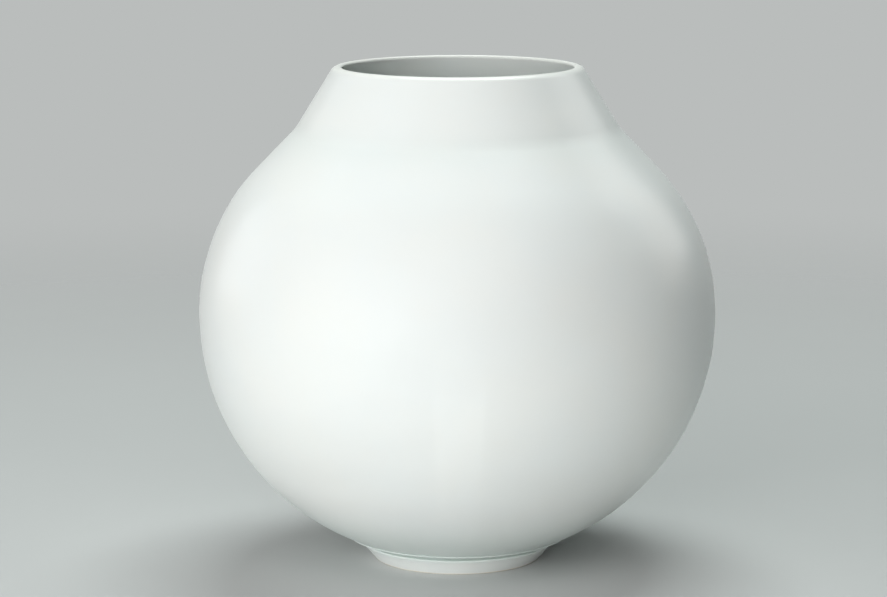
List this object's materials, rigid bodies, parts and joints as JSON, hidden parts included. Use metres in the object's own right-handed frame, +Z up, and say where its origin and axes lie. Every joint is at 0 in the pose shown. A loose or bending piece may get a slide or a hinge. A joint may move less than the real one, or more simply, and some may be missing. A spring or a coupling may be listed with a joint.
{
  "type": "korean moon jar",
  "caption": "Large round white porcelain jar with a cone-shaped neck collar, a wide rounded mouth and a low tapered foot ring, thrown as two bowls joined at the belly.",
  "frame": {"origin": "centre of the foot, on the surface that the jar stands on", "axes": "+Z up along the jar's axis, from the foot to the mouth; -Y towards the viewer of the picture, +X to their right"},
  "size_m": [0.4299, 0.43, 0.4135],
  "materials": {
    "glazed_porcelain": "clear glaze with a faint blue-green cast over white porcelain, soft gloss",
    "bare_porcelain": "fired white porcelain slip, matt"
  },
  "bodies": {
    "root": {"lower_bowl": "glazed_porcelain", "upper_bowl": "glazed_porcelain", "neck_collar": "glazed_porcelain", "foot_ring": "glazed_porcelain", "foot_slip": "glazed_porcelain", "belly_coil": "glazed_porcelain", "belly_slip": "bare_porcelain", "collar_slip": "bare_porcelain"}
  },
  "joints": []
}
